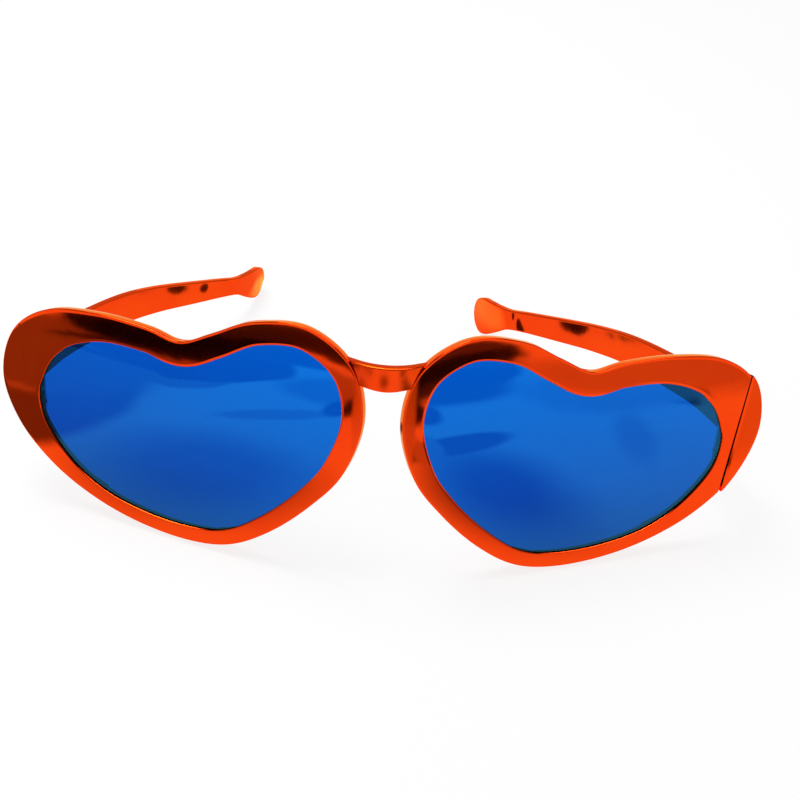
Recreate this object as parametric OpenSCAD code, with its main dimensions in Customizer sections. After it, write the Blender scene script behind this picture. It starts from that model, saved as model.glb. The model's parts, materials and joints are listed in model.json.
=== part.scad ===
// Oversized heart shaped sunglasses: one front moulding with two flat hearts and a bowed bridge,
// two lenses seated from behind, and two folding temples whose roots complete the hearts.
// X runs across, Y from front to back and Z up. The glasses stand on the rims and the temple
// tips, the front leaning back, with the origin under the middle of their box.

/* [Front] */
// Width of one heart, measured in its own plane
heart_w = 125; // [112:0.1:132]
// Height of one heart
heart_h = 84.6; // [76:0.1:90]
// Gap between the two hearts where they come closest
nose_gap = 12.8; // [12:0.1:16]
// Angle by which each heart sweeps back from the nose
wrap_angle = 16; // [10:1:18]
// Depth of the rims, from front face to back face
rim_depth = 5.4; // [4.8:0.1:6.5]
// Width of the rim band under the heart, which the rest of the band follows
rim_band = 5.4; // [5:0.1:5.8]

/* [Lenses] */
// Thickness of the lip in front of the lens
lip_depth = 2.4; // [1.8:0.1:2.8]
// Width of the ledge that the lens seats on
seat_w = 1.6; // [1.2:0.1:2]
// Thickness of a lens
lens_t = 1.2; // [0.8:0.1:1.5]
// Gap round the edge of a lens
lens_clear = 0.15; // [0.05:0.05:0.3]
// Length of a snap tab behind the lens
tab_l = 6; // [4:0.5:8]
// How far a snap tab reaches over the lens
tab_reach = 1; // [0.8:0.1:1.3]

/* [Bridge] */
// Height of the bridge bar
bridge_h = 7.9; // [7:0.1:9]
// Thickness of the bridge bar from front to back
bridge_t = 3.2; // [2.6:0.1:3.8]
// Distance from the top of the hearts down to the top of the bridge
bridge_drop = 8.7; // [8:0.1:13]
// How far the middle of the bridge stands in front of its ends
bridge_bow = 2.4; // [2:0.1:3.5]
// Half the span of the bridge, to where its front passes behind the front faces of the rims
bridge_half = 8.6; // [8.2:0.1:9.2]
// How far the bridge bar runs on into each rim past its span
bridge_root = 3.5; // [3:0.1:4]

/* [Temples] */
// Distance that a temple reaches back from the rim
temple_reach = 124.5; // [115:0.5:140]
// Distance that a temple sweeps inward
temple_sweep = 68; // [58:1:72]
// Thickness of a temple blade
temple_t = 2.8; // [2.2:0.1:3.2]
// Height of the spoon shaped tip, which the rest of the blade follows
spoon_h = 16.5; // [14:0.1:19]
// Distance from the seam to the middle of the blade where it leaves the root
blade_off = 7.1; // [6.9:0.1:7.3]
// Width of the root lobe beyond the seam
lobe_w = 9; // [8.8:0.1:9.3]
// Lean of the seam, its top end outward
seam_lean = 4.3; // [3:0.1:5.5]
// Gap between the two faces of a closed seam
seam_gap = 0.15; // [0.1:0.05:0.3]
// Fold of the right temple as the glasses stand
fold_angle = 9; // [0:1:14]
// How much lower the right tip hangs than the left one
right_sag = 2.4; // [0:0.1:4]
// How much shallower the left spoon is than the right one, at its lower edge
left_trim = 4.6; // [0:0.1:5]

/* [Hinges] */
// Radius of a hinge knuckle
knuckle_r = 1.7; // [1.5:0.05:1.8]
// Height of a hinge knuckle
knuckle_h = 3.6; // [3:0.1:4.2]
// Gap between neighbouring knuckles
knuckle_gap = 0.15; // [0.1:0.05:0.3]
// Gap round a knuckle, to the rim and to the other leaf
knuckle_clear = 0.3; // [0.25:0.05:0.4]
// Thickness of a hinge leaf
leaf_t = 0.8; // [0.7:0.05:1]
// Width of a hinge leaf
leaf_w = 3.1; // [2.8:0.1:3.2]
// Height of a hinge leaf
leaf_h = 20; // [18:0.5:21]
// Gap from a leaf to the line of the seam
leaf_gap = 0.3; // [0.25:0.05:0.4]
// Radius of the hinge screw's shank
pin_r = 0.8; // [0.6:0.05:0.9]
// Running clearance round the hinge screw
pin_clear = 0.05; // [0.03:0.01:0.1]
// Radius of the hinge screw's head
pin_head_r = 1.1; // [1:0.05:1.1]
// Height of the hinge screw's head
pin_head_h = 0.8; // [0.5:0.1:1]

/* [Leaf screws] */
// Radius of a leaf screw's shank
leaf_screw_r = 0.5; // [0.4:0.05:0.55]
// Clearance round a leaf screw's shank
leaf_screw_clear = 0.05; // [0.03:0.01:0.1]
// Length of a leaf screw's shank below its head
leaf_screw_l = 3.4; // [3:0.1:3.8]
// Radius of a leaf screw's head
leaf_head_r = 1.05; // [0.9:0.05:1.15]
// Height of a leaf screw's head
leaf_head_h = 0.5; // [0.4:0.05:0.6]
// Distance of a leaf screw from the middle of its leaf
leaf_screw_off = 8.2; // [7.8:0.1:8.4]

/* [Hidden] */
$fn = 64;

// The heart, from its nose side down, round and back over the top. Each row holds the share of
// the width, the share of the height, and the band there as a share of rim_band
heart_shares = [
    [0, 0.672, 1.26], [0.04, 0.446, 1.27], [0.121, 0.281, 1.15], [0.228, 0.128, 1.11],
    [0.341, 0.026, 1.02], [0.461, 0, 1], [0.605, 0.028, 0.93], [0.74, 0.098, 0.93],
    [0.861, 0.21, 1.3], [0.957, 0.37, 1.85], [1, 0.565, 2.65], [0.962, 0.762, 2.94],
    [0.86, 0.873, 2.65], [0.717, 0.895, 1.79], [0.579, 0.877, 1.57], [0.49, 0.846, 1.56],
    [0.407, 0.899, 1.52], [0.295, 0.977, 1.4], [0.154, 0.994, 1.4], [0.036, 0.877, 1.36]
];
// The run of a temple's middle line: shares of the sweep inward and of the reach back
run_shares = [
    [0, 0], [0.054, 0.052], [0.168, 0.203], [0.327, 0.383], [0.526, 0.553],
    [0.746, 0.7], [0.871, 0.785], [0.945, 0.872], [0.981, 0.94], [1, 1]
];
// The side view of a temple: the share of the reach back, then how high its middle lies above
// the hinge and how high the blade is, as shares of spoon_h
side_shares = [
    [-0.04, 0.145, 1.13], [0.05, 0.175, 1.03], [0.117, 0.24, 0.9], [0.194, 0.305, 0.79],
    [0.296, 0.345, 0.76], [0.43, 0.38, 0.69], [0.53, 0.33, 0.64], [0.632, 0.23, 0.58],
    [0.745, 0.11, 0.51], [0.8, 0.02, 0.52], [0.852, -0.11, 0.72], [0.902, -0.215, 0.9],
    [0.943, -0.26, 0.93], [0.976, -0.26, 0.74], [0.993, -0.26, 0.5], [1.004, -0.26, 0.1]
];
// Places of the snap tabs round a lens, as shares of the way round the heart
tab_shares = [0.03, 0.22, 0.37, 0.49, 0.71, 0.9];
// Height of the hinges as a share of the heart's height
hinge_share = 0.541;
// Smaller pieces that each smooth span is drawn with
loop_steps = 5;
run_steps = 4;
// How sharply the sag and the trim set in towards a tip, and the most of a blade's height that
// the trim may take
sag_power = 2;
trim_power = 6;
trim_most = 0.4;
// Overrun of every cut past the face that it opens
cut_over = 1;
// How deep a snap tab roots in the rim's wall
tab_root = 0.5;
// Gap between a snap tab and the back of the lens
tab_clear = 0.05;
// Steepest lean at which the glasses could stand, and the halvings that find their own
steepest_lean = 30;
halvings = 24;

seam_u = nose_gap / 2 + heart_w - lobe_w;
hinge_z = hinge_share * heart_h;
axis_d = rim_depth + knuckle_r + knuckle_clear;
barrel_h = 3 * knuckle_h + 2 * knuckle_gap;
knuckle_step = knuckle_h + knuckle_gap;
bridge_r = (bridge_half * bridge_half + bridge_bow * bridge_bow) / (2 * bridge_bow);
bridge_front_y = bridge_half * tan(wrap_angle) - bridge_bow;
bridge_z = heart_h - bridge_drop - bridge_h;
// Longer than anything in the model, for half planes and through cuts
far = heart_w + temple_reach;

// A smooth curve through rows of numbers, closed or open
function row(rows, k) = rows[(k + len(rows)) % len(rows)];
function held(rows, k) = rows[max(0, min(len(rows) - 1, k))];
function span(a, b, c, d, t) =
    0.5 * (2 * b + (c - a) * t + (2 * a - 5 * b + 4 * c - d) * t * t + (3 * b - 3 * c + d - a) * t * t * t);
function smooth_loop(rows) = [
    for (k = [0 : len(rows) - 1], s = [0 : loop_steps - 1])
        span(row(rows, k - 1), row(rows, k), row(rows, k + 1), row(rows, k + 2), s / loop_steps)
];
function smooth_run(rows) = [
    for (k = [0 : len(rows) - 2], s = [0 : run_steps - (k == len(rows) - 2 ? 0 : 1)])
        span(held(rows, k - 1), held(rows, k), held(rows, k + 1), held(rows, k + 2), s / run_steps)
];

// The heart in its own plane: across, up, and the width of the band at each point
heart_loop = smooth_loop([
    for (s = heart_shares) [nose_gap / 2 + s[0] * heart_w, s[1] * heart_h, s[2] * rim_band]
]);
function along(loop, k) =
    let (t = row(loop, k + 1) - row(loop, k - 1)) [t[0], t[1]] / norm([t[0], t[1]]);
function inset(loop, less) = [
    for (k = [0 : len(loop) - 1])
        let (t = along(loop, k), w = loop[k][2] - less) [loop[k][0] - t[1] * w, loop[k][1] + t[0] * w]
];
heart_edge = [for (p = heart_loop) [p[0], p[1]]];
opening_edge = inset(heart_loop, 0);
seat_edge = inset(heart_loop, seat_w);
lens_edge = inset(heart_loop, seat_w - lens_clear);

// From a heart's own plane to the upright glasses
function upright(u, d, z) =
    [u * cos(wrap_angle) - d * sin(wrap_angle), u * sin(wrap_angle) + d * cos(wrap_angle), z];

// The right temple, open, in plan and from the side
root = upright(seam_u + blade_off, rim_depth / 2, 0);
hinge = upright(seam_u, axis_d, hinge_z);
run_line = smooth_run([
    for (s = run_shares) [root[0] - s[0] * temple_sweep, root[1] + s[1] * temple_reach]
]);
function run_dir(k) =
    let (t = held(run_line, k + 1) - held(run_line, k - 1)) t / norm(t);
function run_face(way) = [
    for (k = [0 : len(run_line) - 1])
        run_line[k] + way * temple_t / 2 * [run_dir(k)[1], -run_dir(k)[0]]
];
run_edge = concat(run_face(1), [for (k = [len(run_line) - 1 : -1 : 0]) run_face(-1)[k]]);
side_line = smooth_run([
    for (s = side_shares) [root[1] + s[0] * temple_reach, hinge_z + s[1] * spoon_h, s[2] * spoon_h]
]);
// The upper and lower edge of the side view. Towards the tip a sag lowers both edges, and a
// trim raises the lower one
function reached(s, power) = pow(max(0, s[0] - root[1]) / temple_reach, power);
function upper_edge(sag) = [
    for (s = side_line) [s[0], s[1] + s[2] / 2 - sag * reached(s, sag_power)]
];
function lower_edge(sag, trim) = [
    for (s = side_line)
        let (rise = min(trim * reached(s, trim_power), trim_most * s[2]))
        [s[0], s[1] - s[2] / 2 - sag * reached(s, sag_power) + rise]
];
function side_edge(sag, trim) =
    let (top = upper_edge(sag)) concat(lower_edge(sag, trim), [for (k = [len(top) - 1 : -1 : 0]) top[k]]);

// How the glasses stand: the lean at which the rims and a temple tip reach the ground together
function folded(p, a) =
    let (x = p[0] - hinge[0], y = p[1] - hinge[1])
    [hinge[0] + x * cos(a) - y * sin(a), hinge[1] + x * sin(a) + y * cos(a), p[2]];
function leaned(p, a) = [p[0], p[1] * cos(a) + p[2] * sin(a), p[2] * cos(a) - p[1] * sin(a)];
rim_points = [
    for (p = heart_edge, d = [0, rim_depth]) upright(p[0], d, p[1])
];
lobe_points = [for (p = heart_edge, d = [0, rim_depth]) if (p[0] > seam_u) upright(p[0], d, p[1])];
last_y = root[1] + temple_reach - temple_t;
function face_x(way, y) = lookup(y, [for (p = run_face(way)) [p[1], p[0]]]);
function blade_points(sag, trim) = [
    for (edge = [upper_edge(sag), lower_edge(sag, trim)]) each concat(
        [for (p = run_edge) [p[0], p[1], lookup(p[1], edge)]],
        [for (way = [-1, 1], s = edge) if (s[0] < last_y) [face_x(way, s[0]), s[0], s[1]]]
    )
];
left_blade = blade_points(0, left_trim);
left_points = [for (p = concat(rim_points, left_blade)) [-p[0], p[1], p[2]]];
right_points = [for (p = concat(lobe_points, blade_points(right_sag, 0))) folded(p, fold_angle)];
function ground(points, a) = min([for (p = points) leaned(p, a)[2]]);
function lean_between(a, b, left) =
    let (c = (a + b) / 2, gap = ground(concat(left_blade, right_points), c) - ground(rim_points, c))
    left == 0 ? c : gap > 0 ? lean_between(c, b, left - 1) : lean_between(a, c, left - 1);
lean = lean_between(0, steepest_lean, halvings);
stood = [for (p = concat(left_points, rim_points, right_points)) leaned(p, lean)];
function low(k) = min([for (p = stood) p[k]]);
function high(k) = max([for (p = stood) p[k]]);
shift = [-(low(0) + high(0)) / 2, -(low(1) + high(1)) / 2, -low(2)];

module standing() {
    translate(shift)
        rotate([-lean, 0, 0])
            children();
}

// Right or left side of the upright glasses, from right side shapes
module on_side(side) {
    if (side > 0) children();
    else mirror([1, 0, 0]) children();
}

// Turns a right temple about its hinge, inward by a
module fold(a) {
    translate([hinge[0], hinge[1], 0])
        rotate([0, 0, a])
            translate([-hinge[0], -hinge[1], 0])
                children();
}

module in_heart_plane() {
    rotate([0, 0, wrap_angle])
        children();
}

// A flat shape of the heart's plane, given depth from one distance behind the front face
module slab(from, depth) {
    translate([0, from + depth, 0])
        rotate([90, 0, 0])
            linear_extrude(depth)
                children();
}

// Everything outside the seam, in the heart's plane
module beyond_seam(gap) {
    translate([seam_u + gap, hinge_z])
        rotate(-seam_lean)
            translate([0, -far])
                square([far, 2 * far]);
}

module at_hinge() {
    in_heart_plane()
        translate([seam_u, axis_d, hinge_z])
            children();
}

// Holes for the two screws of a leaf, side 1 on the temple and -1 on the front
module leaf_screw_places(side) {
    for (up = [-1, 1])
        translate([side * (leaf_gap + leaf_w / 2), -knuckle_r - knuckle_clear + leaf_t, up * leaf_screw_off])
            rotate([90, 0, 0])
                children();
}

module leaf_screw_holes(side) {
    leaf_screw_places(side)
        translate([0, 0, -cut_over])
            cylinder(r = leaf_screw_r + leaf_screw_clear, h = leaf_screw_l + leaf_screw_clear + cut_over);
}

// One rim: the heart's band up to the seam, with the ledge and snap tabs of the lens
module rim() {
    difference() {
        union() {
            slab(0, rim_depth)
                difference() {
                    polygon(heart_edge);
                    polygon(seat_edge);
                    beyond_seam(0);
                }
            slab(0, lip_depth)
                difference() {
                    polygon(heart_edge);
                    polygon(opening_edge);
                    beyond_seam(0);
                }
            lens_tabs();
        }
        translate([seam_u, axis_d, hinge_z])
            leaf_screw_holes(-1);
    }
}

module lens_tabs() {
    from = lip_depth + lens_t + tab_clear;
    for (s = tab_shares) {
        k = round(s * len(heart_loop));
        t = along(heart_loop, k);
        slab(from, rim_depth - from)
            translate(seat_edge[k])
                rotate(atan2(t[1], t[0]))
                    translate([-tab_l / 2, -tab_root])
                        square([tab_l, tab_root + tab_reach]);
    }
}

module bridge() {
    translate([0, 0, bridge_z])
        linear_extrude(bridge_h)
            intersection() {
                translate([0, bridge_front_y + bridge_r])
                    difference() {
                        circle(bridge_r);
                        circle(bridge_r - bridge_t);
                    }
                translate([-bridge_half - bridge_root, bridge_front_y])
                    square([2 * (bridge_half + bridge_root), bridge_bow + rim_depth]);
            }
}

module front_frame() {
    color("orangered")
        standing()
            union() {
                for (side = [-1, 1])
                    on_side(side) in_heart_plane() rim();
                bridge();
            }
}

module lens(side) {
    color("royalblue")
        standing() on_side(side) in_heart_plane()
            slab(lip_depth, lens_t)
                polygon(lens_edge);
}

// A temple: the root lobe that completes the heart, and the blade with its spoon shaped tip
module temple(side, a, sag, trim) {
    color("orangered")
        standing() on_side(side) fold(a)
            difference() {
                union() {
                    in_heart_plane()
                        slab(0, rim_depth)
                            intersection() {
                                polygon(heart_edge);
                                beyond_seam(seam_gap);
                            }
                    blade(sag, trim);
                }
                at_hinge() leaf_screw_holes(1);
            }
}

module blade(sag, trim) {
    intersection() {
        linear_extrude(far)
            polygon(run_edge);
        translate([-far, 0, 0])
            rotate([90, 0, 90])
                linear_extrude(2 * far)
                    polygon(side_edge(sag, trim));
        in_heart_plane()
            slab(0, far)
                polygon(heart_edge);
    }
}

// A leaf's plate lies on the back face beside the seam, side 1 on the temple and -1 on the front
module leaf_plate(side) {
    translate([side > 0 ? leaf_gap : -leaf_gap - leaf_w, -knuckle_r - knuckle_clear, -leaf_h / 2])
        cube([leaf_w, leaf_t, leaf_h]);
}

module knuckles(places, r, more) {
    for (k = places)
        translate([0, 0, k * knuckle_step - knuckle_h / 2 - more])
            cylinder(r = r, h = knuckle_h + 2 * more);
}

module leaf(side, own, other) {
    color("silver")
        difference() {
            union() {
                difference() {
                    leaf_plate(side);
                    knuckles(other, knuckle_r + knuckle_clear, knuckle_gap);
                }
                knuckles(own, knuckle_r, 0);
            }
            cylinder(r = pin_r + pin_clear, h = leaf_h, center = true);
            leaf_screw_holes(side);
        }
}

module front_leaf(side) {
    standing() on_side(side) at_hinge()
        leaf(-1, [-1, 1], [0]);
}

module temple_leaf(side, a) {
    standing() on_side(side) fold(a) at_hinge()
        leaf(1, [0], [-1, 1]);
}

// The screw hangs by its head from the top knuckle and ends flush with the lowest one
module hinge_screw(side) {
    color("silver")
        standing() on_side(side) at_hinge() {
            translate([0, 0, -barrel_h / 2])
                cylinder(r = pin_r, h = barrel_h + pin_head_h);
            translate([0, 0, barrel_h / 2])
                cylinder(r = pin_head_r, h = pin_head_h);
        }
}

module leaf_screws(side, a, way) {
    color("silver")
        standing() on_side(side) fold(a) at_hinge()
            leaf_screw_places(way) {
                union() {
                    cylinder(r = leaf_screw_r, h = leaf_screw_l);
                    translate([0, 0, -leaf_head_h])
                        cylinder(r = leaf_head_r, h = leaf_head_h);
                }
            }
}

module lens_left() { lens(-1); }
module lens_right() { lens(1); }
module temple_left() { temple(-1, 0, 0, left_trim); }
module temple_right() { temple(1, fold_angle, right_sag, 0); }
module front_leaf_left() { front_leaf(-1); }
module front_leaf_right() { front_leaf(1); }
module temple_leaf_left() { temple_leaf(-1, 0); }
module temple_leaf_right() { temple_leaf(1, fold_angle); }
module hinge_screw_left() { hinge_screw(-1); }
module hinge_screw_right() { hinge_screw(1); }
module front_leaf_screws_left() { leaf_screws(-1, 0, -1); }
module front_leaf_screws_right() { leaf_screws(1, 0, -1); }
module temple_leaf_screws_left() { leaf_screws(-1, 0, 1); }
module temple_leaf_screws_right() { leaf_screws(1, fold_angle, 1); }

front_frame();
lens_left();
lens_right();
temple_left();
temple_right();
front_leaf_left();
front_leaf_right();
temple_leaf_left();
temple_leaf_right();
hinge_screw_left();
hinge_screw_right();
front_leaf_screws_left();
front_leaf_screws_right();
temple_leaf_screws_left();
temple_leaf_screws_right();
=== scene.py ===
import json
import math

import bmesh
import bpy
import numpy as np
from mathutils import Matrix, Vector


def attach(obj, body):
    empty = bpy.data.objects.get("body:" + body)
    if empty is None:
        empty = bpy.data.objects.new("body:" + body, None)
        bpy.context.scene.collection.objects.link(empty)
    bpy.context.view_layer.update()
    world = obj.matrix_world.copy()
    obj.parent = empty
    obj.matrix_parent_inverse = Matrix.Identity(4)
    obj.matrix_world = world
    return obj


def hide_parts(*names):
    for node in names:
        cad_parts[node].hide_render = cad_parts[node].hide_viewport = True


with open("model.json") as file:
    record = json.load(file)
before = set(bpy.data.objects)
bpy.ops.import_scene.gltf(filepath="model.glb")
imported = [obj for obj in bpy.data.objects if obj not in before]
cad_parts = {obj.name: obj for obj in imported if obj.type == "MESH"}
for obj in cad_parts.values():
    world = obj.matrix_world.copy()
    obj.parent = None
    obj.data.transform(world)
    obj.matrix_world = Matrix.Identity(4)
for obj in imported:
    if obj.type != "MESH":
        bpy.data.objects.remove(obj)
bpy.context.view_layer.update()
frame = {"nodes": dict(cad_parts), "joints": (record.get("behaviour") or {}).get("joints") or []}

# Sizes in millimetres, as the source has them. The lip in front of the lens is thinner here
MM = 0.001
HEART_W, HEART_H = 125.0, 84.6
NOSE_GAP = 12.8
WRAP = math.radians(16)
RIM_DEPTH, RIM_BAND = 5.4, 5.4
LIP_DEPTH, SEAT_W = .7, 1.6
LENS_T, LENS_CLEAR = 1.2, 0.15
TAB_L, TAB_REACH, TAB_ROOT, TAB_CLEAR = 6.0, 1.0, 0.5, 0.05
BRIDGE_H, BRIDGE_T, BRIDGE_DROP, BRIDGE_BOW, BRIDGE_HALF = 7.9, 3.2, 8.7, 2.4, 8.6
REACH, SWEEP, TEMPLE_T, SPOON_H = 124.5, 68.0, 2.8, 16.5
BLADE_OFF, LOBE_W = 7.1, 9.0
SEAM_LEAN, SEAM_GAP = math.radians(4.3), 0.15
RIGHT_FOLD, RIGHT_SAG, LEFT_TRIM = math.radians(9), 2.4, 4.6
SAG_POWER, TRIM_POWER, TRIM_MOST = 2, 6, 0.4
KNUCKLE_R, KNUCKLE_CLEAR = 1.7, 0.3
HINGE_SHARE = .541

# The heart: across, up and the band's width there, as shares of HEART_W, HEART_H and RIM_BAND
HEART = [
    (0, .672, 1.26), (.04, .446, 1.27), (.121, .281, 1.15), (.228, .128, 1.11), (.341, .026, 1.02),
    (.461, 0, 1), (.605, .028, .93), (.74, .098, .93), (.861, .21, 1.3), (.957, .37, 1.85),
    (1, .565, 2.65), (.962, .762, 2.94), (.86, .873, 2.65), (.717, .895, 1.79), (.579, .877, 1.57),
    (.49, .846, 1.56), (.407, .899, 1.52), (.295, .977, 1.4), (.154, .994, 1.4), (.036, .877, 1.36),
]
# The blade from above: inward and back, as shares of SWEEP and REACH
RUN = [
    (0, 0), (.054, .052), (.168, .203), (.327, .383), (.526, .553),
    (.746, .7), (.871, .785), (.945, .872), (.981, .94), (1, 1),
]
# The blade from the side: back as a share of REACH, its middle and height as shares of SPOON_H
SIDE = [
    (-.04, .145, 1.13), (.05, .175, 1.03), (.117, .24, .9), (.194, .305, .79), (.296, .345, .76),
    (.43, .38, .69), (.53, .33, .64), (.632, .23, .58), (.745, .11, .51), (.8, .02, .52),
    (.852, -.11, .72), (.902, -.215, .9), (.943, -.26, .93), (.976, -.26, .74), (.993, -.26, .5),
    (1.004, -.26, .1),
]
# Places of the snap tabs round the heart, as shares of its loop
TABS = [.03, .22, .37, .49, .71, .9]

# Sizes of the scene alone. The band's edges: radii at the front, outside and inside, and bevels
# at the back, outside and at the seat. The outer one is rounded by a point at a share of its size
EDGE_OUT, EDGE_IN, EDGE_BACK, EDGE_SEAT = .24, .28, .45, .15
NICK_SHARE = .3
# The crown of the band's face, and depths of further points on its outer wall
CROWN = .012
WALL_DEPTHS = (3.6, 2.4)
# The outer wall draws in towards the back where it faces this way, up or to the nose
DRAW = np.array((-.68, 1.33))
# The snap tabs below a lens reach less far over it, and all stop just short of the rim's back
TAB_LOW, TAB_BACK = 0.35, .1
LENS_BOW, LENS_CENTRE = .32, (.47, .45)
BRIDGE_END, BRIDGE_SWELL, BRIDGE_EDGE, BRIDGE_TILT = 12.7, .35, .55, math.radians(4)
BLADE_EDGE, BLADE_BESIDE, BLADE_FULL = .6, .15, .98
TIP_SHRINKS, TIP_STEP, TIP_POWER = (.97, .9, .78, .6, .36), .25, .6
SEAM_CLOSED, SEAM_REACH, SEAM_BREAK = 0.02, .14, .38
# Further than the glasses reach, for blocks that cut
FAR = 200.0

# Counts of points
HEART_STEPS, STATIONS, SOFTENED = 40, 640, 2
ARC, FACE = 7, 13
BRIDGE_RINGS = 61
RUN_STEPS, SIDE_STEPS, BLADE_RINGS = 24, 12, 220
LENS_RINGS, LENS_EVERY = 26, 2

SEAM_U = NOSE_GAP / 2 + HEART_W - LOBE_W
HINGE_Z = HINGE_SHARE * HEART_H
AXIS_D = RIM_DEPTH + KNUCKLE_R + KNUCKLE_CLEAR
SIDES = (("left", -1), ("right", 1))


def upright(p):
    """Heart plane (across, behind the front face, up) to the upright glasses, right side."""
    p = np.atleast_2d(np.asarray(p, float))
    c, s = math.cos(WRAP), math.sin(WRAP)
    return np.c_[p[:, 0] * c - p[:, 1] * s, p[:, 0] * s + p[:, 1] * c, p[:, 2]]


HINGE = upright((SEAM_U, AXIS_D, HINGE_Z))[0]
ROOT = upright((SEAM_U + BLADE_OFF, RIM_DEPTH / 2, 0))[0]

# How the glasses stand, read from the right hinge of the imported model
joint = {j["child"]: j for j in frame["joints"]}["temple_right"]
LEAN = math.atan2(joint["axis"][1], joint["axis"][2])
LEANING = np.array(Matrix.Rotation(-LEAN, 3, "X"))
SHIFT = np.array(joint["pos_m"]) / MM - LEANING @ HINGE


def stand(p, side=1, fold=0.0):
    """Upright glasses, right side, to the row frame in metres."""
    p = np.array(p, float)
    if fold:
        x, y = p[:, 0] - HINGE[0], p[:, 1] - HINGE[1]
        p[:, 0] = HINGE[0] + x * math.cos(fold) - y * math.sin(fold)
        p[:, 1] = HINGE[1] + x * math.sin(fold) + y * math.cos(fold)
    p[:, 0] *= side
    return (p @ LEANING.T + SHIFT) * MM


def spline(rows, steps, closed):
    """Points on the smooth curve through rows, the same curve as in the source."""
    rows = np.array(rows, float)
    n, out = len(rows), []
    for k in range(n if closed else n - 1):
        pick = [(k + q) % n if closed else min(max(k + q, 0), n - 1) for q in (-1, 0, 1, 2)]
        a, b, c, d = rows[pick]
        for t in np.arange(steps) / steps:
            out.append(.5 * (2 * b + (c - a) * t + (2 * a - 5 * b + 4 * c - d) * t ** 2
                             + (3 * b - 3 * c + d - a) * t ** 3))
    if not closed:
        out.append(rows[-1])
    return np.array(out)


def even(rows, count, closed):
    """The same curve with evenly spaced points."""
    ring = np.vstack([rows, rows[:1]]) if closed else rows
    run = np.r_[0, np.cumsum(np.linalg.norm(np.diff(ring[:, :2], axis=0), axis=1))]
    at = np.linspace(0, run[-1], count + 1)[:-1] if closed else np.linspace(0, run[-1], count)
    return np.stack([np.interp(at, run, ring[:, k]) for k in range(ring.shape[1])], 1)


def softened(rows, reach):
    """Evens out the bend of a closed curve over a few points on each side."""
    k = np.arange(-3 * reach, 3 * reach + 1)
    w = np.exp(-.5 * (k / reach) ** 2)
    w /= w.sum()
    return sum(wk * np.roll(rows, -q, axis=0) for q, wk in zip(k, w))


def normals_in(ring):
    """Unit vectors across a closed curve, towards its inside."""
    t = np.roll(ring[:, :2], -1, axis=0) - np.roll(ring[:, :2], 1, axis=0)
    t /= np.linalg.norm(t, axis=1)[:, None]
    return np.c_[-t[:, 1], t[:, 0]]


# The heart's outer edge with the band's width at each point
loop = spline([(NOSE_GAP / 2 + a * HEART_W, b * HEART_H, c * RIM_BAND) for a, b, c in HEART],
              HEART_STEPS, True)
loop = softened(even(loop, STATIONS, True), SOFTENED)
INWARD = normals_in(loop)


def inset(by):
    """The heart's inner edge, moved out into the band."""
    return loop[:, :2] + INWARD * (loop[:, 2] - by)[:, None]


def made(name, verts, faces, material=None):
    """A mesh object in the scene."""
    mesh = bpy.data.meshes.new(name)
    mesh.from_pydata([tuple(v) for v in verts], [], [tuple(f) for f in faces])
    mesh.validate()
    mesh.update()
    obj = bpy.data.objects.new(name, mesh)
    bpy.context.scene.collection.objects.link(obj)
    if material:
        mesh.materials.append(material)
    return obj


def outward(obj):
    """Turns every face of a closed mesh outward."""
    bm = bmesh.new()
    bm.from_mesh(obj.data)
    bmesh.ops.recalc_face_normals(bm, faces=bm.faces)
    bm.to_mesh(obj.data)
    bm.free()
    return obj


def combined(obj, others, how):
    """obj joined with, or cut by, closed solids, which are used up."""
    for other in others:
        m = obj.modifiers.new("b", "BOOLEAN")
        m.operation, m.object, m.solver = how, other, "MANIFOLD"
        bpy.context.view_layer.update()
        result = obj.evaluated_get(bpy.context.evaluated_depsgraph_get())
        mesh = bpy.data.meshes.new_from_object(result)
        obj.modifiers.clear()
        old, obj.data = obj.data, mesh
        bpy.data.meshes.remove(old)
        bpy.data.objects.remove(other)
    return obj


def smooth(obj, angle=35):
    """Round shading, with edges sharper than the angle kept crisp."""
    for p in obj.data.polygons:
        p.use_smooth = True
    obj.data.set_sharp_from_angle(angle=math.radians(angle))
    return obj


def dressed(obj, name, material):
    """A combined solid under its own name, in one material."""
    obj.name = name
    obj.data.materials.clear()
    obj.data.materials.append(material)
    return smooth(obj)


def tube_faces(rings, points, closed):
    """Quads between rings of points, end caps where the run is open."""
    faces = []
    for i in range(rings if closed else rings - 1):
        a, b = i * points, ((i + 1) % rings) * points
        for j in range(points):
            k = (j + 1) % points
            faces.append((a + j, a + k, b + k, b + j))
    if not closed:
        faces.append(tuple(range(points)))
        faces.append(tuple(reversed(range((rings - 1) * points, rings * points))))
    return faces


def box_mesh(name, lo, hi, place):
    """A block between two corners, whose points a function then puts in place."""
    c = np.array([(x, y, z) for x in (lo[0], hi[0]) for y in (lo[1], hi[1])
                  for z in (lo[2], hi[2])], float)
    f = [(0, 1, 3, 2), (4, 6, 7, 5), (0, 4, 5, 1), (2, 3, 7, 6), (0, 2, 6, 4), (1, 5, 7, 3)]
    return outward(made(name, place(c), f))


def quarter(start=0):
    """The angles of a quarter turn that starts at so many degrees."""
    return np.radians(np.linspace(start, start + 90, ARC))


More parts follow.
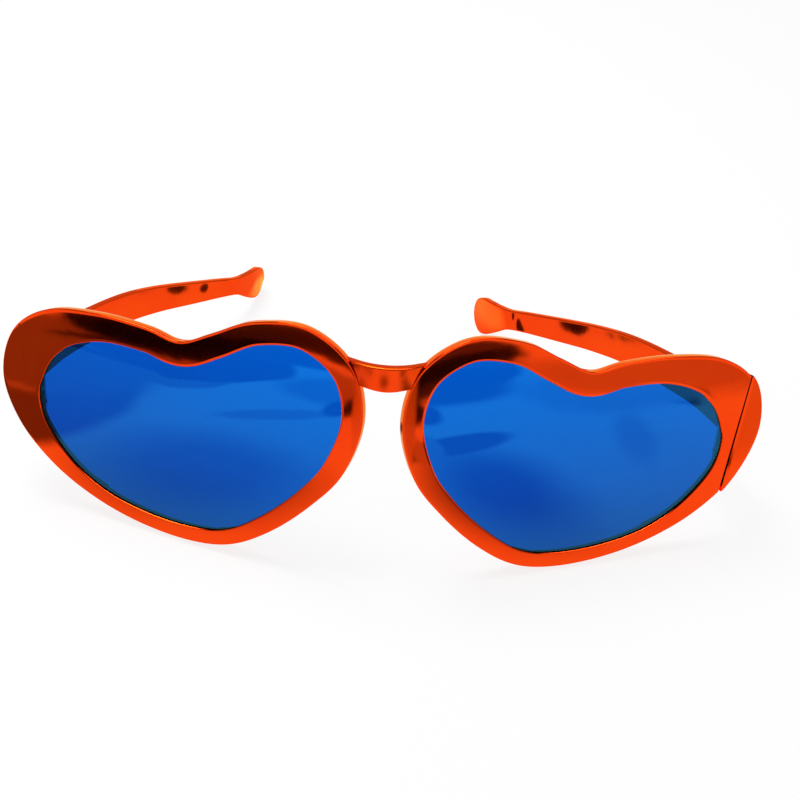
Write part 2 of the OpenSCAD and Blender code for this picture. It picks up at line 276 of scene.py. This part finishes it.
def rim_section(width, draw):
    """Outline of the band's section for one width, from the back edge round over the front."""
    nick = EDGE_BACK * NICK_SHARE
    seat = width - SEAT_W
    inner = width - EDGE_IN
    pts = [(EDGE_BACK, RIM_DEPTH), (nick, RIM_DEPTH - nick), (0, RIM_DEPTH - EDGE_BACK)]
    pts += [(0, d) for d in WALL_DEPTHS]
    pts = [(x + draw * d / RIM_DEPTH, d) for x, d in pts]
    pts += [(EDGE_OUT * (1 - math.cos(a)), CROWN + EDGE_OUT * (1 - math.sin(a))) for a in quarter()]
    face = np.linspace(0, 1, FACE)[1:-1]
    pts += [(EDGE_OUT + f * (inner - EDGE_OUT), CROWN * (2 * f - 1) ** 2) for f in face]
    pts += [(inner + EDGE_IN * math.sin(a), CROWN + EDGE_IN * (1 - math.cos(a))) for a in quarter()]
    pts += [(width, (EDGE_IN + LIP_DEPTH) / 2), (width, LIP_DEPTH), (seat, LIP_DEPTH)]
    pts += [(seat, RIM_DEPTH - EDGE_SEAT), (seat - EDGE_SEAT, RIM_DEPTH)]
    return np.array(pts)


def heart_ring(name, side, fold=0.0):
    """The whole band round one heart, as a closed ring."""
    verts = []
    for (u, z, w), n in zip(loop, INWARD):
        s = rim_section(w, max(0, -DRAW @ n))
        verts.append(np.c_[u + n[0] * s[:, 0], s[:, 1], z + n[1] * s[:, 0]])
    verts = stand(upright(np.vstack(verts)), side, fold)
    return outward(made(name, verts, tube_faces(STATIONS, len(s), True)))


def seam_plane(p, gap, side, fold, reach):
    """Seam frame (outward, depth, up along the seam) to the row frame.

    At the front face the seam lies further in by reach, at the back face not at all."""
    c, s = math.cos(SEAM_LEAN), math.sin(SEAM_LEAN)
    across = p[:, 0] - reach * (1 - p[:, 1] / RIM_DEPTH)
    q = np.c_[SEAM_U + gap + across * c + p[:, 2] * s, p[:, 1],
              HINGE_Z - across * s + p[:, 2] * c]
    return stand(upright(q), side, fold)


def beyond(gap, inner, side, fold=0.0, reach=0.0):
    """A block that holds all that lies outside the seam, or inside it."""
    lo, hi = ((-FAR, -FAR, -FAR), (0, FAR, FAR)) if inner else ((0, -FAR, -FAR), (FAR, FAR, FAR))
    return box_mesh("cutter", lo, hi, lambda c: seam_plane(c, gap, side, fold, reach))


def edge_bar(gap, side, fold, reach):
    """A square bar on its edge, which breaks the corner that the seam has at the front."""
    turned = np.array(Matrix.Rotation(math.pi / 4, 3, "Z"))
    return box_mesh("cutter", (-SEAM_BREAK, -SEAM_BREAK, -FAR), (SEAM_BREAK, SEAM_BREAK, FAR),
                    lambda c: seam_plane(c @ turned.T, gap, side, fold, reach))


def tab_blocks(side):
    """The snap tabs behind a lens."""
    out = []
    edge = inset(SEAT_W)
    start = LIP_DEPTH + LENS_T + TAB_CLEAR
    for share in TABS:
        k = int(round(share * STATIONS))
        n = INWARD[k]
        t = np.array((n[1], -n[0]))

        def place(c, k=k, n=n, t=t):
            q = edge[k] + c[:, :1] * t + c[:, 2:] * n
            return stand(upright(np.c_[q[:, 0], c[:, 1], q[:, 1]]), side)

        reach = TAB_REACH if n[1] < 0 else TAB_LOW
        out.append(box_mesh("tab", (-TAB_L / 2, start, -TAB_ROOT),
                            (TAB_L / 2, RIM_DEPTH - TAB_BACK, reach), place))
    return out


def bridge_bar():
    """The bowed bar between the hearts, with rounded edges and its lower edge swelling down.

    Its face leans, so that it looks down a little."""
    radius = (BRIDGE_HALF ** 2 + BRIDGE_BOW ** 2) / (2 * BRIDGE_BOW)
    front = BRIDGE_HALF * math.tan(WRAP) - BRIDGE_BOW
    top = HEART_H - BRIDGE_DROP
    r = BRIDGE_EDGE
    points = []
    for x in np.linspace(-BRIDGE_END, BRIDGE_END, BRIDGE_RINGS):
        held = min(abs(x), BRIDGE_HALF)
        slope = held / math.sqrt(radius ** 2 - held ** 2)
        y = front + radius - math.sqrt(radius ** 2 - held ** 2) + slope * (abs(x) - held)
        low = top - BRIDGE_H - BRIDGE_SWELL * math.cos(math.pi * min(1, abs(x) / BRIDGE_HALF))
        for cy, cz, start in ((r, low + r, 180), (BRIDGE_T - r, low + r, 270),
                              (BRIDGE_T - r, top - r, 0), (r, top - r, 90)):
            for a in quarter(start):
                z = cz + r * math.sin(a)
                leant = y + cy + r * math.cos(a) + (top - z) * math.tan(BRIDGE_TILT)
                points.append((x, leant, z))
    faces = tube_faces(BRIDGE_RINGS, 4 * ARC, False)
    return outward(made("bridge", stand(np.array(points)), faces))


def front_frame(material):
    """Both rims up to the seams, with their snap tabs and the bridge, in one piece."""
    rims = []
    for name, side in SIDES:
        ring = heart_ring("rim_" + name, side)
        combined(ring, [beyond(0, False, side)], "DIFFERENCE")
        rims.append(combined(ring, tab_blocks(side), "UNION"))
    obj = combined(rims[0], [rims[1], bridge_bar()], "UNION")
    return dressed(obj, "front_shell", material)


def blade_section(low, high):
    """Outline of the blade across its thickness and up, with rounded corners."""
    r, half = BLADE_EDGE, TEMPLE_T / 2
    rise = min(r, (high - low) / 2 * BLADE_FULL)
    # A point just beyond each end of a corner keeps the flat sides flat in the shading
    beside = min(BLADE_BESIDE, ((high - low) / 2 - rise) / 2)
    pts = []
    for cx, cz, start in ((-half + r, low + rise, 180), (half - r, low + rise, 270),
                          (half - r, high - rise, 0), (-half + r, high - rise, 90)):
        arc = [(cx + r * math.cos(a), cz + rise * math.sin(a)) for a in quarter(start)]
        c, d = np.round((math.cos(math.radians(start)), math.sin(math.radians(start))))
        pts.append((arc[0][0] + d * BLADE_BESIDE, arc[0][1] - c * beside))
        pts += arc
        pts.append((arc[-1][0] - c * BLADE_BESIDE, arc[-1][1] - d * beside))
    return np.array(pts)


def temple_blade(side, fold, sag, trim):
    """The blade, lofted along its run with rounded edges and a rounded tip."""
    run = spline([(ROOT[0] - a * SWEEP, ROOT[1] + b * REACH) for a, b in RUN], RUN_STEPS, False)
    run = even(run, BLADE_RINGS, False)
    t = np.gradient(run, axis=0)
    t /= np.linalg.norm(t, axis=1)[:, None]
    face = np.c_[t[:, 1], -t[:, 0]]
    line = spline([(ROOT[1] + a * REACH, HINGE_Z + b * SPOON_H, c * SPOON_H) for a, b, c in SIDE],
                  SIDE_STEPS, False)
    gone = np.maximum(0, line[:, 0] - ROOT[1]) / REACH
    drop = sag * gone ** SAG_POWER
    cut = np.minimum(trim * gone ** TRIM_POWER, TRIM_MOST * line[:, 2])
    top = line[:, 1] + line[:, 2] / 2 - drop
    bottom = line[:, 1] - line[:, 2] / 2 - drop + cut
    rings = []
    for p, f in zip(run, face):
        s = blade_section(np.interp(p[1], line[:, 0], bottom), np.interp(p[1], line[:, 0], top))
        rings.append(np.c_[p + s[:, :1] * f, s[:, 1]])
    # The last rings close in, so that the tip is rounded in plan too
    base = rings[-1]
    middle = base.mean(0)
    onward = (run[-1] - run[-2]) / np.linalg.norm(run[-1] - run[-2]) * TIP_STEP
    for k, shrink in enumerate(TIP_SHRINKS):
        q = middle + (base - middle) * shrink
        q[:, :2] += onward * (k + 1) ** TIP_POWER
        rings.append(q)
    verts = stand(np.vstack(rings), side, fold)
    return outward(made("blade", verts, tube_faces(len(rings), len(base), False)))


def temple(name, side, fold, sag, trim, material):
    """A temple: its blade with the outer lobe of its heart.

    The right seam has its edge broken and the left one is drawn nearly closed."""
    lobe = heart_ring("lobe", side, fold)
    gap, reach = (SEAM_GAP, SEAM_REACH) if side > 0 else (SEAM_CLOSED, 0.0)
    cuts = [beyond(gap, True, side, fold, reach)]
    if side > 0:
        cuts.append(edge_bar(gap, side, fold, reach))
    combined(lobe, cuts, "DIFFERENCE")
    combined(lobe, [temple_blade(side, fold, sag, trim)], "UNION")
    return dressed(lobe, name, material)


def lens(name, side, material):
    """A lens with a slight bow, from rings of its outline shrunk to a point below the cleft."""
    edge = inset(SEAT_W - LENS_CLEAR)[::LENS_EVERY]
    centre = np.array((NOSE_GAP / 2 + LENS_CENTRE[0] * HEART_W, LENS_CENTRE[1] * HEART_H))
    n = len(edge)
    verts, faces, skins = [], [], []
    for depth in (LIP_DEPTH, LIP_DEPTH + LENS_T):
        first = len(verts)
        skins.append(first)
        for k in range(LENS_RINGS):
            share = 1 - k / LENS_RINGS
            d = depth - LENS_BOW * (1 - share ** 2)
            verts += [(a, d, b) for a, b in centre + (edge - centre) * share]
        middle = len(verts)
        last = middle - n
        verts.append((centre[0], depth - LENS_BOW, centre[1]))
        for row in range(first, last, n):
            for j in range(n):
                i = (j + 1) % n
                faces.append((row + j, row + i, row + n + i, row + n + j))
        faces += [(last + j, last + (j + 1) % n, middle) for j in range(n)]
    a, b = skins
    faces += [(a + j, a + (j + 1) % n, b + (j + 1) % n, b + j) for j in range(n)]
    obj = outward(made(name, stand(upright(np.array(verts)), side), faces, material))
    return smooth(obj, 50)


# Materials
WHITE = (1, 1, 1, 1)
FLOOR_GREY = (.86, .86, .86, 1)
# The bridge is a little duller than the rims, over this much of X on each side in metres
BRIDGE_ROUGH, BRIDGE_FADE = .2, (.0105, .0085)


def new_material(name):
    """A material with its nodes, its links and its shader."""
    m = bpy.data.materials.new(name)
    m.use_nodes = True
    return m, m.node_tree.nodes, m.node_tree.links, m.node_tree.nodes["Principled BSDF"]


def node(nodes, kind, **values):
    """A new node. A name with a capital is a socket, with _ for a space, others are settings."""
    n = nodes.new(kind)
    for k, v in values.items():
        if k[0].isupper():
            n.inputs[k.replace("_", " ")].default_value = v
        else:
            setattr(n, k, v)
    return n


def noise(nodes, links, at, scale, detail, roughness=.5):
    """Noise over the places that a socket gives."""
    n = node(nodes, "ShaderNodeTexNoise", Scale=scale, Detail=detail, Roughness=roughness)
    links.new(at, n.inputs["Vector"])
    return n


def ramped(nodes, links, level, stops):
    """The colour for a level, from rows of a place on the ramp and its colour."""
    n = node(nodes, "ShaderNodeValToRGB")
    elements = n.color_ramp.elements
    elements[0].position, elements[1].position = stops[0][0], stops[-1][0]
    for at, colour in stops[1:-1]:
        elements.new(at)
    for element, (at, colour) in zip(elements, stops):
        element.color = colour
    links.new(level, n.inputs["Fac"])
    return n.outputs["Color"]


def ranged(nodes, links, level, **values):
    """A level mapped to another range."""
    n = node(nodes, "ShaderNodeMapRange", **values)
    links.new(level, n.inputs["Value"])
    return n.outputs["Result"]


def bumped(nodes, links, height, shader, strength, distance):
    """Bump on a shader, from a height."""
    n = node(nodes, "ShaderNodeBump", Strength=strength, Distance=distance)
    links.new(height, n.inputs["Height"])
    links.new(n.outputs["Normal"], shader.inputs["Normal"])


def blended(nodes, links, share, low, high):
    """The level low, or high where the share is 1. Each can be a socket or a number."""
    n = node(nodes, "ShaderNodeMix", data_type="FLOAT")
    for k, v in ((0, share), (2, low), (3, high)):
        if isinstance(v, (int, float)):
            n.inputs[k].default_value = v
        else:
            links.new(v, n.inputs[k])
    return n.outputs[0]


def mixed(nodes, links, share, first, second):
    """The first shader, or the second where the share is 1."""
    n = node(nodes, "ShaderNodeMixShader")
    for k, v in enumerate((share, first, second)):
        links.new(v, n.inputs[k])
    return n.outputs[0]


def shell_material():
    """Orange-red metallised plastic, clouded a little and duller on the bridge."""
    m, nodes, links, p = new_material("metallised_plastic")
    p.inputs["Metallic"].default_value = 1.0
    p.inputs["Coat Weight"].default_value = .08
    p.inputs["Coat Roughness"].default_value = .03
    p.inputs["Specular Tint"].default_value = (1, .6, .1, 1)
    at = node(nodes, "ShaderNodeTexCoord").outputs["Object"]
    cloud = noise(nodes, links, at, 38.0, 3.0)
    stops = ((.35, (.96, .050, .0014, 1)), (.7, (1.0, .066, .0020, 1)))
    links.new(ramped(nodes, links, cloud.outputs["Fac"], stops), p.inputs["Base Color"])
    fine = noise(nodes, links, at, 260.0, 4.0, .6)
    rough = ranged(nodes, links, fine.outputs["Fac"], To_Min=.04, To_Max=.07)
    place = node(nodes, "ShaderNodeSeparateXYZ")
    links.new(at, place.inputs["Vector"])
    aside = node(nodes, "ShaderNodeMath", operation="ABSOLUTE")
    links.new(place.outputs["X"], aside.inputs[0])
    on_bridge = ranged(nodes, links, aside.outputs[0], interpolation_type="SMOOTHSTEP",
                       From_Min=BRIDGE_FADE[0], From_Max=BRIDGE_FADE[1])
    links.new(blended(nodes, links, on_bridge, rough, BRIDGE_ROUGH), p.inputs["Roughness"])
    wave = noise(nodes, links, at, 120.0, 1.5, .4)
    bumped(nodes, links, wave.outputs["Fac"], p, .06, .0004)
    return m


def lens_material():
    """Blue tinted plastic that gets lighter towards the top, a little uneven; its darkening towards
    the bottom, near the floor, is painted shade.
    """
    m, nodes, links, p = new_material("blue_lens")
    p.inputs["Transmission Weight"].default_value = 1.0
    p.inputs["Metallic"].default_value = .15
    p.inputs["Specular Tint"].default_value = (.05, 1, .9, 1)
    p.inputs["Roughness"].default_value = .02
    p.inputs["IOR"].default_value = 1.7
    at = node(nodes, "ShaderNodeTexCoord").outputs["Object"]
    place = node(nodes, "ShaderNodeSeparateXYZ")
    links.new(at, place.inputs["Vector"])
    # Painted shade: the colour darkens with less height above the floor
    height = ranged(nodes, links, place.outputs["Z"], From_Min=0.0, From_Max=.08)
    stops = ((0, (.006, .036, .31, 1)), (.38, (.005, .080, .54, 1)), (1, (.0005, .145, .76, 1)))
    links.new(ramped(nodes, links, height, stops), p.inputs["Base Color"])
    uneven = noise(nodes, links, at, 30.0, 2.0)
    bumped(nodes, links, uneven.outputs["Fac"], p, .05, .0003)
    return m


def steel_material():
    """Plain steel with a fine grain, for the leaves and screws."""
    m, nodes, links, p = new_material("hinge_steel")
    p.inputs["Metallic"].default_value = 1.0
    at = node(nodes, "ShaderNodeTexCoord").outputs["Object"]
    grain = noise(nodes, links, at, 900.0, 3.0).outputs["Fac"]
    stops = ((0, (.42, .41, .40, 1)), (1, (.66, .65, .63, 1)))
    links.new(ramped(nodes, links, grain, stops), p.inputs["Base Color"])
    links.new(ranged(nodes, links, grain, To_Min=.22, To_Max=.4), p.inputs["Roughness"])
    return m


SHELL, BLUE, STEEL = shell_material(), lens_material(), steel_material()

front = front_frame(SHELL)
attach(front, "front")
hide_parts("front_frame")
for name, side in SIDES:
    right = side > 0
    arm = temple("temple_shell_" + name, side, RIGHT_FOLD if right else 0.0,
                 RIGHT_SAG if right else 0.0, 0.0 if right else LEFT_TRIM, SHELL)
    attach(arm, "temple_" + name)
    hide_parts("temple_" + name)
    glass = lens("lens_sheet_" + name, side, BLUE)
    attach(glass, "front")
    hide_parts("lens_" + name)
for name, obj in frame["nodes"].items():
    if "leaf" in name or "screw" in name:
        obj.data.materials.clear()
        obj.data.materials.append(STEEL)


# Stage: a pale floor, a white surround for the camera and a soft studio for the reflections
def ray_kinds(nodes, links, kinds):
    """1 for rays of any of these kinds, else 0."""
    path = node(nodes, "ShaderNodeLightPath")
    total = path.outputs[kinds[0]]
    for kind in kinds[1:]:
        most = node(nodes, "ShaderNodeMath", operation="MAXIMUM")
        links.new(total, most.inputs[0])
        links.new(path.outputs[kind], most.inputs[1])
        total = most.outputs[0]
    return total


def laid_over(nodes, links, at, level, middle, half, turned, soft, shade):
    """Lays a soft ellipse of another level over a level."""
    spot = node(nodes, "ShaderNodeMapping", vector_type="TEXTURE", Location=middle,
                Rotation=(0, 0, turned), Scale=half)
    links.new(at, spot.inputs["Vector"])
    away = node(nodes, "ShaderNodeVectorMath", operation="LENGTH")
    links.new(spot.outputs[0], away.inputs[0])
    inside = ranged(nodes, links, away.outputs["Value"], interpolation_type="SMOOTHSTEP",
                    From_Min=1 + soft, From_Max=1 - soft)
    return blended(nodes, links, inside, level, shade)


# What the floor shows in reflections: its own level, then soft pools laid over it one by one, each
# with its middle, half sizes, turn in degrees, softness and level
FLOOR_GLOW = .96
POOLS = [
    # Seen in the left lens
    (-112, -140, 40, 52, -25, .6, .35), (-229, -157, 105, 45, 59, .12, .18),
    (-250, -312, 34, 78, -8, .1, .33), (-152, -248, 10, 36, 19, .3, .5),
    (-268, -208, 9, 42, -36, .2, .02),
    # Seen in the right lens
    (100, -160, 26, 58, 18, .7, .1), (124, -228, 33, 16, -5, .2, .05),
    (205, -190, 9, 55, 37, .5, .6), (195, -352, 60, 42, -27, .25, .05),
    (284, -238, 9, 30, 26, .25, .03),
    # Seen in the left rim
    (-300, -205, 95, 75, 30, .15, .25), (-285, -325, 80, 62, 0, .05, .004),
    (-262, -440, 80, 75, 0, .1, .04), (-285, -254, 28, 8, -25, .3, .03),
    (-166, -334, 38, 38, 0, .3, .45), (-144, -301, 8, 25, -18, .25, .015),
    (-232, -147, 14, 5, -30, .5, .42),
    # Seen in the right rim
    (310, -290, 85, 75, 0, .3, .62), (290, -115, 85, 30, -15, .3, .78),
    (238, -412, 85, 52, -39, .1, .012), (268, -425, 30, 22, 0, .4, .1),
    (146, -296, 10, 27, 20, .25, .01), (108, -232, 7, 24, 24, .3, .52),
    # Seen in the bridge
    (-14, -302, 36, 60, 0, .4, .1),
]
# The same for small spots seen in the temples, which stay where they are put
SPOTS = [
    (-2, 22.2, 10, 5.6, 0, .1, .06), (-8, 36, 5.5, 3, 0, .2, .08),
    (-21, -12.4, 14, 5.5, 10, .1, .02), (18, 66, 12, 16, 0, .5, 2.2), (-50, 78, 5, 9, 0, .5, 3.0),
]
# Noise moves the pools' outlines to and fro over this many metres
DRIFT = .014
# How much of what the camera sees of the floor is its own light
FLOOR_LIT = .82
# Metres: half the floor's size and its height, just under the glasses
FLOOR_HALF, FLOOR_Z = 9.0, -.0002


def floor_material():
    """Pale to the camera; in reflections bright, with the darker pools of the studio round it."""
    m, nodes, links, p = new_material("floor")
    nodes.remove(p)
    diffuse = node(nodes, "ShaderNodeBsdfDiffuse", Color=FLOOR_GREY)
    glow = node(nodes, "ShaderNodeEmission", Color=WHITE, Strength=1.0)
    lit = node(nodes, "ShaderNodeMath", operation="MULTIPLY")
    links.new(ray_kinds(nodes, links, ("Is Camera Ray", "Is Transmission Ray")), lit.inputs[0])
    lit.inputs[1].default_value = FLOOR_LIT
    plain = mixed(nodes, links, lit.outputs[0], diffuse.outputs[0], glow.outputs[0])
    at = node(nodes, "ShaderNodeNewGeometry").outputs["Position"]
    drift = node(nodes, "ShaderNodeVectorMath", operation="MULTIPLY_ADD")
    links.new(noise(nodes, links, at, 9.0, 2.0).outputs["Color"], drift.inputs[0])
    drift.inputs[1].default_value = (DRIFT, DRIFT, 0)
    links.new(at, drift.inputs[2])
    shift = node(nodes, "ShaderNodeVectorMath", operation="SUBTRACT")
    links.new(drift.outputs[0], shift.inputs[0])
    shift.inputs[1].default_value = (DRIFT / 2, DRIFT / 2, 0)
    level = FLOOR_GLOW
    for rows, over in ((POOLS, shift.outputs[0]), (SPOTS, at)):
        for x, y, half_x, half_y, turned, soft, shade in rows:
            level = laid_over(nodes, links, over, level, (x * MM, y * MM, 0),
                              (half_x * MM, half_y * MM, 1), math.radians(turned), soft, shade)
    mirror_glow = node(nodes, "ShaderNodeEmission", Color=WHITE)
    links.new(level, mirror_glow.inputs["Strength"])
    # A ray that has passed through a lens counts as glossy too, so those are taken off
    mirrored = node(nodes, "ShaderNodeMath", operation="SUBTRACT", use_clamp=True)
    links.new(ray_kinds(nodes, links, ("Is Glossy Ray",)), mirrored.inputs[0])
    links.new(ray_kinds(nodes, links, ("Is Transmission Ray",)), mirrored.inputs[1])
    links.new(mixed(nodes, links, mirrored.outputs[0], plain, mirror_glow.outputs[0]),
              nodes["Material Output"].inputs["Surface"])
    return m


# What the room shows in reflections: dark, with soft lit panels, each with its direction, half
# sizes, softness and level. ROOM_FILL is its light on dull surfaces
ROOM_GLOW, ROOM_FILL = .012, .55
PANELS = [
    ((0, -1, .05), (1.2, .5, .25), .3, .3),
    ((1, 0, .1), (.45, .9, .8), .3, .5), ((-1, 0, .1), (.45, .9, .8), .3, .5),
    ((0, 1, .1), (1.3, .9, .85), .2, .62), ((0, .02, 1), (.9, .24, .2), .3, 9.0),
]


def room():
    """White to the camera; in reflections a dark room with soft panels."""
    world = bpy.data.worlds.new("studio")
    bpy.context.scene.world = world
    world.use_nodes = True
    nodes, links = world.node_tree.nodes, world.node_tree.links
    nodes.clear()
    out = node(nodes, "ShaderNodeOutputWorld")
    plain = node(nodes, "ShaderNodeBackground", Color=WHITE, Strength=ROOM_FILL)
    white = node(nodes, "ShaderNodeBackground", Color=WHITE, Strength=1.0)
    studio = node(nodes, "ShaderNodeBackground", Color=WHITE)
    at = node(nodes, "ShaderNodeTexCoord").outputs["Generated"]
    level = ROOM_GLOW
    for middle, half, soft, shade in PANELS:
        level = laid_over(nodes, links, at, level, middle, half, 0, soft, shade)
    links.new(level, studio.inputs["Strength"])
    gloss = ray_kinds(nodes, links, ("Is Glossy Ray",))
    seen = ray_kinds(nodes, links, ("Is Camera Ray", "Is Transmission Ray"))
    lit = mixed(nodes, links, gloss, plain.outputs[0], studio.outputs[0])
    links.new(mixed(nodes, links, seen, lit, white.outputs[0]), out.inputs["Surface"])


floor = made("floor", [(-FLOOR_HALF, -FLOOR_HALF, FLOOR_Z), (FLOOR_HALF, -FLOOR_HALF, FLOOR_Z),
                       (FLOOR_HALF, FLOOR_HALF, FLOOR_Z), (-FLOOR_HALF, FLOOR_HALF, FLOOR_Z)],
             [(0, 1, 2, 3)], floor_material())
room()


def lamp(name, at, aim, size, power):
    """A round area light that looks at a point."""
    data = bpy.data.lights.new(name, "AREA")
    data.shape, data.size, data.energy = "DISK", size, power
    obj = bpy.data.objects.new(name, data)
    obj.location = at
    obj.rotation_euler = (Vector(aim) - Vector(at)).to_track_quat("-Z", "Y").to_euler()
    bpy.context.scene.collection.objects.link(obj)


lamp("soft_top", (-.25, .15, .9), (0, 0, .03), .5, 7.0)

# The camera, from the fit of the rims to the photograph, in the frame of the upright glasses:
# focal length in pixels, turns in radians, and in millimetres the place before the eye of a point
# on their middle plane, FIT_UP high
FOCAL_PX, PHOTO_PX = 1200.0, 800
PITCH, YAW, ROLL = .4434, .0211, .0823
EYE = (-6.6758, 24.2607, 370.9357)
FIT_UP = 38.76
SENSOR = 36.0
image_axes = np.array(((1, 0, 0), (0, 0, -1), (0, 1, 0)), float)


def turn(axis, angle):
    """The matrix of a turn about an axis."""
    return np.array(Matrix.Rotation(angle, 3, axis))


to_eye = turn("Z", ROLL) @ image_axes @ turn("X", PITCH) @ turn("Z", YAW)
row_to_eye = to_eye @ LEANING.T
place = SHIFT + LEANING @ (np.array((0, 0, FIT_UP)) - to_eye.T @ np.array(EYE))
camera = bpy.data.objects.new("camera", bpy.data.cameras.new("camera"))
bpy.context.scene.collection.objects.link(camera)
axes = np.array((row_to_eye[0], -row_to_eye[1], -row_to_eye[2])).T
camera.matrix_world = Matrix.Translation(Vector(place * MM)) @ Matrix(axes.tolist()).to_4x4()
camera.data.sensor_width = SENSOR
camera.data.lens = FOCAL_PX * SENSOR / PHOTO_PX
camera.data.clip_start, camera.data.clip_end = .01, 20
bpy.context.scene.camera = camera
bpy.context.scene.view_settings.view_transform = "Standard"
